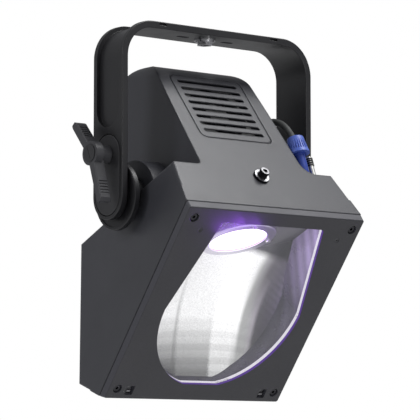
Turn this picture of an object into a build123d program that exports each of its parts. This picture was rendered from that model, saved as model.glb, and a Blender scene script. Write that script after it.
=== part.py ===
from build123d import *
import os
from math import acos, atan2, cos, degrees, hypot, radians, sin, tan

# An LED cyclorama light: a drafted housing with a tapering head, hung in a dished yoke.
# The origin is on the hanging thread's axis, at the upper face of the hanging nut.
# +Z is up, the light shines towards -Y and down, and the two yoke arms stand at -X and +X.

os.makedirs("parts", exist_ok=True)


def write(part, name):
    part.label = name
    export_step(part, "parts/" + name + ".step")


# ---------------------------------------------------------------- driving dimensions (mm)

# yoke
yoke_half = 165.0          # half of the width over both arms
strap_w = 66.0             # width of the strap, along Y
strap_t = 9.5              # depth of the strap's rims
web_t = 3.6                # floor left under the dished recess
corner_r = 51.0            # outer corner radius
pivot_z = -225.5           # height of the tilt axis below the hanging nut
handle_rise = 54.5         # clamp stud's height above the tilt axis
hang_r = 6.0               # M12 thread
hang_clear_r = 6.5         # clearance hole for M12
washer_t = 2.0
nut_h = 6.0

# housing, in the YZ plane, from the top front edge of the seam
front_edge_y = -153.0      # where that edge is at rest
front_edge_z = -243.5
bezel_tilt = 37.6          # the aperture's plane from vertical
top_tilt = 39.0            # the sloping top face from vertical
seam_h = 312.0             # height of the seam, down the aperture's plane
shoulder_s = 72.0          # where the sloping face steps in to the head
back_top = (286.0, -35.0)
back_bottom = (252.0, -230.0)
half_w = 150.5             # half width at the seam
draft = 0.18               # half width lost per mm of depth
wall = 3.5
head_half = 90.0           # half width of the head at the shoulder
head_half_top = 82.0       # and at its top
head_top_s = 240.0         # where the sloping face starts to roll over
head_arc_r = 54.0
ear_r = 50.0               # round bosses that carry the pivots
ear_face = 122.5           # their flat faces, from the middle

# bezel
bezel_t = 11.9
seam_gap = 1.5

# light engine, by distance down the aperture's plane (v) and depth behind it (d)
led_v = 76.0
led_d = 45.2
led_tilt = 18.0            # the emitter faces this much forward of straight down
led_r = 42.0
ring_r = 53.0

# mains lead
cable_r = 5.0

# ---------------------------------------------------------------- planes and helpers

X = Vector(1, 0, 0)
front_edge = Vector(0, front_edge_y, front_edge_z)
down = Vector(0, sin(radians(bezel_tilt)), -cos(radians(bezel_tilt)))
inward = Vector(0, cos(radians(bezel_tilt)), sin(radians(bezel_tilt)))
up_slope = Vector(0, sin(radians(top_tilt)), cos(radians(top_tilt)))
slope_out = Vector(0, -cos(radians(top_tilt)), sin(radians(top_tilt)))
led_out = Vector(0, -sin(radians(led_tilt)), -cos(radians(led_tilt)))
led_back = Vector(0, cos(radians(led_tilt)), -sin(radians(led_tilt)))


def yz(y, z):
    """A point of the side profile, given from the front edge."""
    return (y + front_edge_y, z + front_edge_z)


def slope_point(s):
    """A point of the side profile at a distance up the sloping top face."""
    return yz(s * up_slope.Y, s * up_slope.Z)


def on_front(v, d=0.0):
    """A point of the side profile, v down the aperture's plane and d behind it."""
    p = down * v + inward * d
    return yz(p.Y, p.Z)


def front_plane(d=0.0):
    """Faces out of the aperture, d behind the seam; its y is up the aperture."""
    return Plane(origin=front_edge + inward * d, x_dir=X, z_dir=-inward)


def slope_plane(s, x=0.0, out=0.0):
    """On the sloping top face, facing out, s up from the front edge."""
    origin = front_edge + up_slope * s + slope_out * out + X * x
    return Plane(origin=origin, x_dir=X, z_dir=slope_out)


def arm_plane(x, y=0.0, z=pivot_z):
    """Across the tilt axis, at a distance along it, facing +X."""
    return Plane(origin=(x, y, z), x_dir=(0, 1, 0), z_dir=X)


led_centre = front_edge + down * led_v + inward * led_d


def led_plane(out=0.0):
    """Parallel to the emitter, facing the way it shines."""
    return Plane(origin=led_centre + led_out * out, x_dir=X, z_dir=led_out)


seam_bottom = on_front(seam_h)
shoulder = slope_point(shoulder_s)
back_top_pt = yz(*back_top)
back_bottom_pt = yz(*back_bottom)
rear_slope = atan2(back_top_pt[1] - shoulder[1], back_top_pt[0] - shoulder[0])
rear_normal = Vector(0, -sin(rear_slope), cos(rear_slope))


def rear_slope_point(y):
    """Height of the slope behind the shoulder, at y."""
    return shoulder[1] + tan(rear_slope) * (y - shoulder[0])


# ---------------------------------------------------------------- yoke

strap_low = washer_t
strap_top = strap_low + strap_t
arm_bottom = pivot_z - strap_w / 2
pad_r = 27.0
pad_gap = 1.2
pad_depth = 4.0
dish_depth = strap_t - web_t
dish_half = 25.0
dish_end_z = -134.0
side_slot_x = 38.5
side_slot_l = 20.0
side_slot_w = 8.6


def strap_outline(inset, bottom):
    """The U of the strap seen from the front, moved in by inset, as a solid block."""
    half = yoke_half - inset
    top = strap_top - inset
    radius = corner_r - inset
    with BuildPart() as block:
        with BuildSketch(Plane.XZ):
            with Locations((0, (top + bottom) / 2)):
                Rectangle(2 * half, top - bottom)
            corners = vertices().filter_by(lambda v: v.Y > top - 1)
            fillet(corners, radius)
        extrude(amount=strap_w, both=True)
    return block.part


def arm_profile(half, bottom, top):
    """Strap width with round lower ends, seen from the side, as a solid across the yoke."""
    with BuildPart() as block:
        with BuildSketch(Plane.YZ):
            with Locations((0, (top + bottom + half) / 2)):
                Rectangle(2 * half, top - bottom - half)
            with Locations((0, bottom + half)):
                Circle(half)
        extrude(amount=yoke_half + 20, both=True)
    return block.part


strap_block = strap_outline(0, arm_bottom - 40)
strap_inner = strap_outline(strap_t, arm_bottom - 60)
strap_sides = arm_profile(strap_w / 2, arm_bottom, strap_top + 20)
dish_floor = strap_outline(dish_depth, arm_bottom - 60)
dish_sides = arm_profile(dish_half, dish_end_z, strap_top + 40)

with BuildPart() as dish_tool:
    add(dish_sides)
    add(dish_floor, mode=Mode.SUBTRACT)

with BuildPart() as yoke:
    add(strap_block)
    add(strap_sides, mode=Mode.INTERSECT)
    add(strap_inner, mode=Mode.SUBTRACT)
    rim_edges = yoke.edges().filter_by(lambda e: abs(abs(e.center().Y) - strap_w / 2) < 0.01 and e.length > 60)
    fillet(rim_edges, 1.2)
    add(dish_tool.part, mode=Mode.SUBTRACT)
    # hanging hole and the slots beside it
    with Locations((0, 0, strap_low + web_t / 2)):
        Cylinder(hang_clear_r, web_t + 4, mode=Mode.SUBTRACT)
    with BuildSketch(Plane.XY.offset(strap_low - 1)):
        with Locations((-side_slot_x, 0), (side_slot_x, 0)):
            SlotOverall(side_slot_l, side_slot_w)
    extrude(amount=web_t + 3, mode=Mode.SUBTRACT)
    # small cable-tie pockets in the front rim
    for side in (-1, 1):
        with Locations((side * 97.0, -strap_w / 2, strap_low + 6.0)):
            Box(13, 9, 3, mode=Mode.SUBTRACT)
    for side in (-1, 1):
        # pocket for the arm cap, pivot hole and clamp hole
        with BuildSketch(arm_plane(side * yoke_half)):
            with Locations((0, handle_rise / 2)):
                SlotOverall(handle_rise + 2 * (pad_r + pad_gap), 2 * (pad_r + pad_gap), rotation=90)
        extrude(amount=-side * pad_depth, mode=Mode.SUBTRACT)
        with BuildSketch(arm_plane(side * (yoke_half + 1))):
            Circle(10.0)
            with Locations((0, handle_rise)):
                Circle(5.2)
        extrude(amount=-side * (strap_t + 2), mode=Mode.SUBTRACT)
write(yoke.part, "yoke")

block_top = 15.0
with BuildPart() as hanging_block:
    with BuildSketch(Plane.XY.offset(strap_low + web_t)):
        Rectangle(42, 34)
        fillet(vertices(), 4)
    extrude(amount=block_top - strap_low - web_t)
    chamfer(hanging_block.faces().sort_by(Axis.Z)[-1].edges(), 1.0)
    with Locations((0, 0, block_top / 2)):
        Cylinder(hang_clear_r, block_top * 2, mode=Mode.SUBTRACT)
write(hanging_block.part, "hanging_block")

with BuildPart() as hanging_washer:
    with Locations((0, 0, washer_t / 2)):
        Cylinder(15.0, washer_t)
        Cylinder(hang_clear_r, washer_t * 3, mode=Mode.SUBTRACT)
write(hanging_washer.part, "hanging_washer")

with BuildPart() as hanging_nut:
    with BuildSketch(Plane.XY):
        RegularPolygon(11.0, 6)
    extrude(amount=-nut_h)
    with Locations((0, 0, -1.0)):
        Cylinder(13.0, 2.0)
    with Locations((0, 0, -nut_h / 2)):
        Cylinder(hang_r, nut_h * 3, mode=Mode.SUBTRACT)
write(hanging_nut.part, "hanging_nut")

with BuildPart() as arm_caps:
    for side in (-1, 1):
        base = side * (yoke_half - pad_depth)
        with BuildSketch(arm_plane(base)):
            with Locations((0, handle_rise / 2)):
                SlotOverall(handle_rise + 2 * pad_r, 2 * pad_r, rotation=90)
            if side < 0:
                with Locations((0, handle_rise)):
                    Circle(5.2, mode=Mode.SUBTRACT)
        extrude(amount=side * (pad_depth + 0.6))
    cap_rims = arm_caps.faces().filter_by(lambda f: abs(abs(f.center().X) - yoke_half - 0.6) < 0.01)
    chamfer(cap_rims.edges().filter_by(lambda e: e.length > 40), 0.8)
write(arm_caps.part, "arm_caps")

# ---------------------------------------------------------------- tilt pivots and brake

arm_inner = yoke_half - strap_t
disc_r = 46.0
disc_out = arm_inner - 3.0         # outer face of the friction discs
disc_t = 8.0
neck_r = 28.0

with BuildPart() as pivot_bushes:
    for side in (-1, 1):
        with BuildSketch(arm_plane(side * (disc_out + 0.3))):
            Circle(22.0)
            Circle(6.1, mode=Mode.SUBTRACT)
        extrude(amount=side * 2.4)
        with BuildSketch(arm_plane(side * (arm_inner - 0.6))):
            Circle(9.8)
            Circle(6.1, mode=Mode.SUBTRACT)
        extrude(amount=side * (strap_t - pad_depth + 0.4))
write(pivot_bushes.part, "pivot_bushes")

with BuildPart() as friction_discs:
    for side in (-1, 1):
        with BuildSketch(arm_plane(side * disc_out)):
            Circle(disc_r)
        extrude(amount=-side * disc_t)
        with BuildSketch(arm_plane(side * (disc_out - disc_t))):
            Circle(neck_r)
        extrude(amount=-side * (disc_out - disc_t - ear_face))
        with BuildSketch(arm_plane(side * (disc_out + 1))):
            Circle(5.0)
        extrude(amount=-side * 60, mode=Mode.SUBTRACT)
        # shallow dish in the outer face, inside a raised rim
        with BuildSketch(arm_plane(side * (disc_out + 1))):
            Circle(disc_r - 4)
            Circle(24.0, mode=Mode.SUBTRACT)
        extrude(amount=-side * 3.0, mode=Mode.SUBTRACT)
    rims = friction_discs.edges().filter_by(GeomType.CIRCLE)
    rims = rims.filter_by(lambda e: abs(e.radius - disc_r) < 0.01)
    chamfer(rims, 0.9)
write(friction_discs.part, "friction_discs")

nut_base = ear_face - wall         # the pivot nuts bear inside the ear faces
with BuildPart() as pivot_bolts:
    for side in (-1, 1):
        with BuildSketch(arm_plane(side * (nut_base - 8))):
            Circle(4.96)
        extrude(amount=side * (disc_out - nut_base + 7.0))
        with BuildSketch(arm_plane(side * (disc_out + 0.1))):
            Circle(6.05)
        extrude(amount=side * 7.8)
        with BuildSketch(arm_plane(side * nut_base)):
            RegularPolygon(9.0, 6)
        extrude(amount=-side * 6.0)
write(pivot_bolts.part, "pivot_bolts")

# ---------------------------------------------------------------- tilt handle

handle_z = pivot_z + handle_rise
handle_face = -(yoke_half + 31.0)      # outer face of the hub's cap
lever_out = handle_face + 1.6
lever_t = 17.0
hub_r = 12.6
stud_r = 4.9

# clamp stud, held in the yoke by its jaw behind the arm
with BuildPart() as clamp_stud:
    with BuildSketch(arm_plane(-(arm_inner - 2.6), z=handle_z)):
        Circle(stud_r)
    extrude(amount=-(strap_t + 22.0))
    with BuildSketch(arm_plane(-arm_inner, z=handle_z - 7)):
        RectangleRounded(22, 30, 5)
    extrude(amount=2.6)
write(clamp_stud.part, "clamp_stud")


def lever_plane(angle):
    """Holds a lever's outline; its y runs along the lever, angle back from straight up."""
    along = Vector(0, sin(radians(angle)), cos(radians(angle)))
    return Plane(origin=(lever_out, 0, handle_z), x_dir=along.cross(X), z_dir=X)


upper_lean = 41.5
lower_lean = 198.0
with BuildPart() as tilt_handle:
    with BuildSketch(arm_plane(-(yoke_half + 1.2), z=handle_z)):
        Circle(hub_r)
        Circle(stud_r + 0.05, mode=Mode.SUBTRACT)
    extrude(amount=-(-lever_out - yoke_half - 1.2))
    with BuildSketch(arm_plane(lever_out, z=handle_z)):
        Circle(16.5)
        Circle(stud_r + 0.05, mode=Mode.SUBTRACT)
    extrude(amount=12.0)
    for lean, length, root, tip in ((upper_lean, 57.0, 13.0, 12.0), (lower_lean, 70.0, 13.0, 10.5)):
        with BuildSketch(lever_plane(lean)):
            with BuildLine():
                Polyline(
                    (-root / 2, 8.0),
                    (-tip / 2, length - 5),
                    (-tip / 2 + 2.5, length),
                    (tip / 2 - 2.5, length),
                    (tip / 2, length - 5),
                    (root / 2, 8.0),
                    close=True,
                )
            make_face()
        extrude(amount=lever_t)
    with BuildSketch(arm_plane(lever_out - 1, z=handle_z)):
        Circle(stud_r + 0.05)
    extrude(amount=40, mode=Mode.SUBTRACT)
    long_edges = tilt_handle.edges().filter_by(GeomType.LINE).filter_by(lambda e: e.length > 20)
    fillet(long_edges.filter_by(lambda e: abs(e.tangent_at(0.5).X) < 0.1), 1.6)
    # grip grooves across both faces of each lever
    for lean, start, half in ((upper_lean, 28.0, 6.2), (lower_lean, 42.0, 5.7)):
        plane = lever_plane(lean)
        for side in (-1, 1):
            for i in range(5):
                spot = plane.from_local_coords(Vector(side * half, start + 4.2 * i, lever_t / 2))
                with Locations(Plane(origin=spot, x_dir=plane.x_dir, z_dir=plane.z_dir)):
                    Box(2.2, 1.9, lever_t - 3.6, mode=Mode.SUBTRACT)
write(tilt_handle.part, "tilt_handle")

with BuildPart() as handle_cap:
    with BuildSketch(arm_plane(handle_face, z=handle_z)):
        Circle(12.2)
    extrude(amount=1.4)
    chamfer(handle_cap.faces().sort_by(Axis.X)[0].edges(), 0.5)
    with BuildSketch(arm_plane(handle_face, z=handle_z)):
        Rectangle(1.2, 17.0, rotation=-24)
    extrude(amount=0.6, mode=Mode.SUBTRACT)
write(handle_cap.part, "handle_cap")

# ---------------------------------------------------------------- housing shell


def box_body(inset, open_front):
    """The wide drafted box, its walls moved in by inset."""
    reach = 40.0 if open_front else 0.0
    front_low = Vector(0, *seam_bottom)
    low_dir = (front_low - Vector(0, *back_bottom_pt)).normalized()
    first = front_edge - up_slope * reach
    last = front_low + low_dir * reach
    with BuildPart() as body:
        with BuildSketch(Plane.YZ):
            with BuildLine():
                Polyline(
                    (first.Y, first.Z),
                    shoulder,
                    back_top_pt,
                    back_bottom_pt,
                    (last.Y, last.Z),
                    close=True,
                )
            make_face()
            if inset:
                offset(amount=-inset, kind=Kind.INTERSECTION)
        extrude(amount=half_w + 30, both=True)
        add(drafted_wedge(inset), mode=Mode.INTERSECT)
    return body.part


def drafted_wedge(inset):
    """Narrows from the seam to the back, to give every side wall the same draft."""
    near = 45.0
    deep = 320.0
    side = inset * hypot(1, draft)
    with BuildPart() as wedge:
        with BuildSketch(Plane(origin=front_edge, x_dir=X, z_dir=-down)):
            with BuildLine():
                Polyline(
                    (-(half_w + draft * near - side), -near),
                    (half_w + draft * near - side, -near),
                    (half_w - draft * deep - side, deep),
                    (-(half_w - draft * deep - side), deep),
                    close=True,
                )
            make_face()
        extrude(amount=520, both=True)
    return wedge.part


head_foot = 40.0
head_corner_r = 20.0
head_low_z = -70.0


def head_arc_centre():
    """The rolled top's centre, square to the sloping face where that ends."""
    roll = up_slope * head_top_s - slope_out * head_arc_r
    return yz(roll.Y, roll.Z)


head_back_y = head_arc_centre()[0] + head_arc_r


def head_body(inset):
    """The head: sloping front, rolled top and upright back, tapering upwards."""
    centre = head_arc_centre()
    radius = head_arc_r - inset
    front_foot = front_edge + up_slope * head_foot - slope_out * inset
    roll = (centre[0] + slope_out.Y * radius, centre[1] + slope_out.Z * radius)
    roll_angle = degrees(atan2(slope_out.Z, slope_out.Y))
    back = (centre[0] + radius, centre[1])
    low_z = front_edge_z + head_low_z
    with BuildPart() as body:
        with BuildSketch(Plane.YZ):
            with BuildLine():
                Polyline((back[0], low_z), (front_foot.Y + 30, low_z), (front_foot.Y, front_foot.Z), roll)
                CenterArc(centre, radius, 0, roll_angle)
                Line(back, (back[0], low_z))
            make_face()
        extrude(amount=head_half + 20, both=True)
        slope = (head_half - head_half_top) / (head_top_s - shoulder_s)
        low_s = -60.0
        high_s = 330.0
        low_half = head_half - slope * (low_s - shoulder_s) - inset
        high_half = head_half - slope * (high_s - shoulder_s) - inset
        with BuildSketch(Plane(origin=front_edge, x_dir=X, z_dir=slope_out)):
            with BuildLine():
                Polyline(
                    (-low_half, low_s),
                    (low_half, low_s),
                    (high_half, high_s),
                    (-high_half, high_s),
                    close=True,
                )
            make_face()
        extrude(amount=300, both=True, mode=Mode.INTERSECT)
        # rounds the corners of the top, seen from the front
        corner = head_corner_r - inset
        crown_z = centre[1] + radius
        crown_half = head_half_top - 1.0 - inset
        with BuildSketch(Plane.XZ):
            with BuildLine():
                left = CenterArc((-(crown_half - corner), crown_z - corner), corner, 90, 90)
                right = CenterArc((crown_half - corner, crown_z - corner), corner, 0, 90)
                Line(left @ 0, right @ 1)
                Polyline(right @ 0, (head_half + 15, low_z - 20), (-head_half - 15, low_z - 20), left @ 1)
            make_face()
        extrude(amount=400, both=True, mode=Mode.INTERSECT)
    return body.part


def ear_body(inset):
    """Round boss across the whole housing, on the tilt axis, drafted like the box."""
    with BuildPart() as body:
        with BuildSketch(arm_plane(0)):
            Circle(ear_r - inset)
        extrude(amount=half_w, both=True)
        with BuildSketch(arm_plane(0)):
            Circle(ear_r + 5)
        extrude(amount=ear_face - inset, both=True, mode=Mode.INTERSECT)
    return body.part


grille_w = 122.0
grille_s0 = 127.0
grille_s1 = 246.0
grille_mid = (grille_s0 + grille_s1) / 2
slot_l = 103.0
slot_w = 5.6
slot_pitch = 13.5
slot_first_s = 140.5
slot_count = 8

screw_x = 135.5            # bezel screws, from the middle
screw_v = (16.0 + 2.6, 289.0 + 2.6)
service_s = 56.5           # service screw on the sloping face
service_x = 3.2
power_x = 105.5            # where the plugs stand on the slope behind the shoulder
power_y = 62.7
data_x = 126.0
data_y = 66.8
inlet_r = 10.4             # round body of the power inlet
data_r = 4.4               # and of the data socket
rear_open_w = 104.0        # opening under the rear cover
cover_w = 132.0
cover_h = 104.0
cover_z = -190.0
cover_spots = [
    (side * (cover_w / 2 - 6), up * (cover_h / 2 - 6)) for side in (-1, 1) for up in (-1, 1)
]


def rear_plane(x, y, out=0.0):
    """On the slope behind the shoulder, facing out of it; y is given from the front edge."""
    y0 = y + front_edge_y
    origin = Vector(x, y0, rear_slope_point(y0)) + rear_normal * out
    return Plane(origin=origin, x_dir=X, z_dir=rear_normal)


def back_plane(x, z, out=0.0):
    """On the head's upright back, facing +Y; its x runs towards -X."""
    return Plane(origin=(x, head_back_y + out, z), x_dir=(-1, 0, 0), z_dir=(0, 1, 0))


def head_half_at(s):
    return head_half - (head_half - head_half_top) * (s - shoulder_s) / (head_top_s - shoulder_s)


outer_box = box_body(0, False)
outer_head = head_body(0)
outer_ear = ear_body(0)
inner_box = box_body(wall, True)
inner_head = head_body(wall)
inner_ear = ear_body(wall)

# solid corners behind the bezel, tapped for its screws
with BuildPart() as corner_posts:
    with BuildSketch(front_plane(0)):
        for v in (0, seam_h):
            for side in (-1, 1):
                with Locations((side * half_w, -v)):
                    Rectangle(46, 52)
    extrude(amount=-26)
    add(outer_box, mode=Mode.INTERSECT)

# walls of the ears, and the sleeves their necks stand in
with BuildPart() as ear_walls:
    add(outer_ear)
    add(inner_ear, mode=Mode.SUBTRACT)
    for side in (-1, 1):
        with BuildSketch(arm_plane(side * (ear_face - wall))):
            Circle(neck_r + 1.2 + wall)
        extrude(amount=side * 30)
    add(outer_box + outer_ear, mode=Mode.INTERSECT)
    for side in (-1, 1):
        with BuildSketch(arm_plane(side * ear_face)):
            Circle(neck_r + 1.2)
        extrude(amount=side * 40, mode=Mode.SUBTRACT)
    add(inner_head, mode=Mode.SUBTRACT)

with BuildPart() as main_housing:
    add(outer_box)
    side_edges = main_housing.edges().filter_by(lambda e: e.length > 60 and abs(e.center().X) > 60)
    fillet(side_edges.filter_by(lambda e: (Vector(e.center()) - front_edge).dot(inward) > 5), 3.0)
    add(outer_head)
    # gussets that round the outline where the head meets the shoulder
    for side, radius in ((-1, 7.0), (1, 20.0)):
        low = head_half_at(shoulder_s)
        high = head_half_at(shoulder_s + radius)
        foot = low + radius
        with BuildSketch(slope_plane(0)):
            with BuildLine():
                Polyline(
                    (side * high, shoulder_s + radius),
                    (side * (high - 3), shoulder_s + radius),
                    (side * (low - 3), shoulder_s - 3),
                    (side * foot, shoulder_s - 3),
                    (side * foot, shoulder_s),
                )
                ThreePointArc(
                    (side * foot, shoulder_s),
                    (side * (foot - radius * 0.72), shoulder_s + radius * 0.30),
                    (side * high, shoulder_s + radius),
                )
            make_face()
        extrude(amount=-46)
    add(inner_box, mode=Mode.SUBTRACT)
    add(inner_head, mode=Mode.SUBTRACT)
    add(inner_ear, mode=Mode.SUBTRACT)
    for side in (-1, 1):
        with BuildSketch(arm_plane(side * ear_face)):
            Circle(neck_r + 1.2)
        extrude(amount=side * 40, mode=Mode.SUBTRACT)
    add(ear_walls.part)
    for side in (-1, 1):
        with BuildSketch(arm_plane(side * (ear_face + 1))):
            Circle(5.05)
        extrude(amount=-side * 8, mode=Mode.SUBTRACT)
    add(corner_posts.part)
    with BuildSketch(front_plane(0)):
        with Locations(*[(side * screw_x, -v) for side in (-1, 1) for v in screw_v]):
            Circle(2.5)
    extrude(amount=-22, mode=Mode.SUBTRACT)
    # recess and opening for the vent grille
    with BuildSketch(slope_plane(grille_mid, out=0.5)):
        RectangleRounded(grille_w + 2.4, grille_s1 - grille_s0 + 2.4, 10.2)
    extrude(amount=-2.7, mode=Mode.SUBTRACT)
    with BuildSketch(slope_plane(grille_mid)):
        RectangleRounded(grille_w - 8, grille_s1 - grille_s0 - 12, 8)
    extrude(amount=-20, mode=Mode.SUBTRACT)
    with BuildSketch(slope_plane(service_s, service_x, out=1)):
        Circle(3.05)
    extrude(amount=-8, mode=Mode.SUBTRACT)
    # holes for the sockets on the slope behind the shoulder
    with BuildSketch(rear_plane(power_x, power_y, out=1)):
        Circle(inlet_r + 0.1)
    extrude(amount=-8, mode=Mode.SUBTRACT)
    with BuildSketch(rear_plane(power_x, power_y)):
        Circle(15.8)
    extrude(amount=30, mode=Mode.SUBTRACT)
    with BuildSketch(rear_plane(data_x, data_y, out=1)):
        Circle(data_r + 0.1)
    extrude(amount=-8, mode=Mode.SUBTRACT)
    # opening under the rear cover and its screw holes
    with BuildSketch(back_plane(0, cover_z, out=4)):
        RectangleRounded(rear_open_w, cover_h - 22, 8)
        with Locations(*cover_spots):
            Circle(1.6)
    extrude(amount=-12, mode=Mode.SUBTRACT)
write(main_housing.part, "main_housing")

# ---------------------------------------------------------------- bezel and glass

aperture_v = 22.0          # top edge of the aperture, down from the front edge
aperture_half_top = 87.0   # half width of that edge
bowl_v = 162.0             # where the rounded lower part starts
bowl_half = 116.5
bowl_drop = 123.0
bowl_flat = 30.0           # half width of the flat at the very bottom
bezel_v0 = 2.64
bezel_v1 = 307.0
glass_t = 3.0
glass_back = -3.9          # depth of the glass's inner face
trim_x = 118.0
trim_v = bezel_v0 + 34.0
notch_x = 114.5
notch_v = bezel_v0 + 291.0
notch_w = 12.5
notch_h = 14.5


def aperture_prism(d0, d1, grow=0.0):
    """The aperture's outline, moved out by grow, from depth d0 to d1."""
    half = bowl_half + grow
    drop = bowl_drop + grow
    turn = degrees(acos(bowl_flat / half))
    top = -(aperture_v - grow)
    top_half = aperture_half_top + grow
    with BuildPart() as prism:
        with BuildSketch(front_plane(d0)):
            with BuildLine():
                right = EllipticalCenterArc((0, -bowl_v), half, drop, start_angle=-turn, arc_size=turn)
                left = EllipticalCenterArc((0, -bowl_v), half, drop, start_angle=180, arc_size=turn)
                Line(left @ 1, right @ 0)
                Polyline(right @ 1, (top_half, top), (-top_half, top), left @ 0)
            make_face()
            fillet(vertices().sort_by(Axis.Y)[-2:], 6.0 + max(grow, 0))
        extrude(amount=-(d1 - d0))
    return prism.part


glass_recess = aperture_prism(glass_back - glass_t - 1.0, 1.0, 8.6)
seal_outer = aperture_prism(glass_back - glass_t - 1.0, glass_back - glass_t, 7.5)
seal_inner = aperture_prism(glass_back - glass_t - 2.0, 0.0, 1.5)
aperture_hole = aperture_prism(-bezel_t - 2.0, 1.0)
screw_spots = [(side * screw_x, -v) for side in (-1, 1) for v in screw_v]
trim_spots = [(side * trim_x, -trim_v) for side in (-1, 1)]
notch_spots = [(side * notch_x, -notch_v) for side in (-1, 1)]

with BuildPart() as bezel_frame:
    with BuildSketch(front_plane(-seam_gap)):
        with Locations((0, -seam_h / 2)):
            RectangleRounded(2 * half_w, seam_h, 3.0)
    with BuildSketch(front_plane(-bezel_t)):
        with Locations((0, -(bezel_v0 + bezel_v1) / 2)):
            RectangleRounded(2 * half_w - 1, bezel_v1 - bezel_v0, 3.0)
    loft()
    front_face = bezel_frame.faces().sort_by(Axis(front_edge, -inward))[-1]
    chamfer(front_face.edges(), 0.8)
    add(aperture_hole, mode=Mode.SUBTRACT)
    add(glass_recess, mode=Mode.SUBTRACT)
    # counterbores and holes for the corner screws
    with BuildSketch(front_plane(-bezel_t - 1)):
        with Locations(*screw_spots):
            Circle(6.6)
    extrude(amount=-7.6, mode=Mode.SUBTRACT)
    with BuildSketch(front_plane(-bezel_t)):
        with Locations(*screw_spots):
            Circle(3.05)
    extrude(amount=-20, mode=Mode.SUBTRACT)
    with BuildSketch(front_plane(-bezel_t - 1)):
        with Locations(*trim_spots):
            Circle(3.4)
    extrude(amount=-3.2, mode=Mode.SUBTRACT)
    with BuildSketch(front_plane(-bezel_t)):
        with Locations(*trim_spots):
            Circle(1.6)
    extrude(amount=-8, mode=Mode.SUBTRACT)
    with BuildSketch(front_plane(-bezel_t - 1)):
        with Locations(*notch_spots):
            RectangleRounded(notch_w, notch_h, 1.2)
    extrude(amount=-8.5, mode=Mode.SUBTRACT)
write(bezel_frame.part, "bezel_frame")

with BuildPart() as front_gasket:
    with BuildSketch(front_plane(0)):
        with Locations((0, -seam_h / 2)):
            RectangleRounded(2 * half_w - 3.6, seam_h - 3.6, 2.4)
            RectangleRounded(2 * half_w - 7.6, seam_h - 7.6, 2.0, mode=Mode.SUBTRACT)
    extrude(amount=seam_gap)
write(front_gasket.part, "front_gasket")

with BuildPart() as glass_seal:
    add(seal_outer)
    add(seal_inner, mode=Mode.SUBTRACT)
write(glass_seal.part, "glass_seal")

front_glass = aperture_prism(glass_back - glass_t, glass_back, 8.0)
write(front_glass, "front_glass")

with BuildPart() as bezel_screws:
    with BuildSketch(front_plane(-bezel_t + 6.6)):
        with Locations(*screw_spots):
            Circle(5.0)
    extrude(amount=4.8)
    with BuildSketch(front_plane(-bezel_t + 1.8)):
        with Locations(*screw_spots):
            RegularPolygon(2.3, 6)
    extrude(amount=-3.0, mode=Mode.SUBTRACT)
    with BuildSketch(front_plane(-bezel_t + 6.6)):
        with Locations(*screw_spots):
            Circle(2.45)
    extrude(amount=-24)
write(bezel_screws.part, "bezel_screws")

with BuildPart() as trim_screws:
    with BuildSketch(front_plane(-bezel_t + 2.2)):
        with Locations(*trim_spots):
            Circle(3.0)
    extrude(amount=1.8)
    with BuildSketch(front_plane(-bezel_t + 0.4)):
        with Locations(*trim_spots):
            Rectangle(3.6, 0.8)
            Rectangle(0.8, 3.6)
    extrude(amount=-1.0, mode=Mode.SUBTRACT)
    with BuildSketch(front_plane(-bezel_t + 2.2)):
        with Locations(*trim_spots):
            Circle(1.55)
    extrude(amount=-5)
write(trim_screws.part, "trim_screws")

with BuildPart() as bezel_clips:
    with BuildSketch(front_plane(-bezel_t + 7.5)):
        with Locations(*notch_spots):
            RectangleRounded(notch_w - 1.0, notch_h - 1.0, 0.8)
    extrude(amount=1.6)
    with BuildSketch(front_plane(-bezel_t + 6)):
        with Locations(*[(x, y - 2.5) for x, y in notch_spots]):
            Rectangle(6.0, 2.4)
    extrude(amount=3.6)
write(bezel_clips.part, "bezel_clips")

# ---------------------------------------------------------------- reflector

# The scoop is ruled across four pairs of fan lines. Each line gives its half distance from the
# middle at the ceiling's end and at the bottom, and how far it stands forward of the middle.
fan_lines = ((22.0, 30.0, 0.0), (45.0, 64.0, 3.0), (60.0, 82.0, 9.0), (125.0, 150.0, 40.0))
fan_v0 = 124.0
fan_v1 = 281.0
ceiling_v = 16.0
ceiling_d = 4.0
ceiling_rise = 73.0 / 104.0
scoop_rows = (
    (126.0, 77.0),
    (141.0, 74.8),
    (156.0, 72.6),
    (171.0, 69.4),
    (186.0, 65.0),
    (201.0, 59.6),
    (216.0, 52.2),
    (231.0, 43.6),
    (246.0, 34.2),
    (260.0, 24.0),
    (272.0, 15.0),
    (281.0, 8.0),
)


def fan_section(line, side, thick):
    """One fan line's profile: the ceiling, then the curved back, thick behind it."""
    near, far, rise = line
    run = X * (side * (far - near)) + down * (fan_v1 - fan_v0)
    scale = run.length / (fan_v1 - fan_v0)
    start_d = scoop_rows[0][1] - rise
    start_v = ceiling_v + (start_d - ceiling_d) / ceiling_rise
    profile = [(ceiling_v - 10.0, ceiling_d - 10.0 * ceiling_rise), (start_v, start_d)]
    profile += [(v, d - rise) for v, d in scoop_rows]
    front = [((v - fan_v0) * scale, d) for v, d in profile]
    behind = [(u, d + thick) for u, d in reversed(front)]
    origin = front_edge + down * fan_v0 + X * (side * near)
    with BuildSketch(Plane(origin=origin, x_dir=run, z_dir=run.cross(inward))) as section:
        with BuildLine():
            Polyline(*(front + behind), close=True)
        make_face()
    return section.sketch


def scoop_body(thick):
    """The ruled scoop, thick behind its reflecting surface."""
    sections = [fan_section(line, -1, thick) for line in reversed(fan_lines)]
    sections += [fan_section(line, 1, thick) for line in fan_lines]
    with BuildPart() as body:
        for first, second in zip(sections, sections[1:]):
            loft(sections=[first, second], ruled=True)
    return body.part


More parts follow.
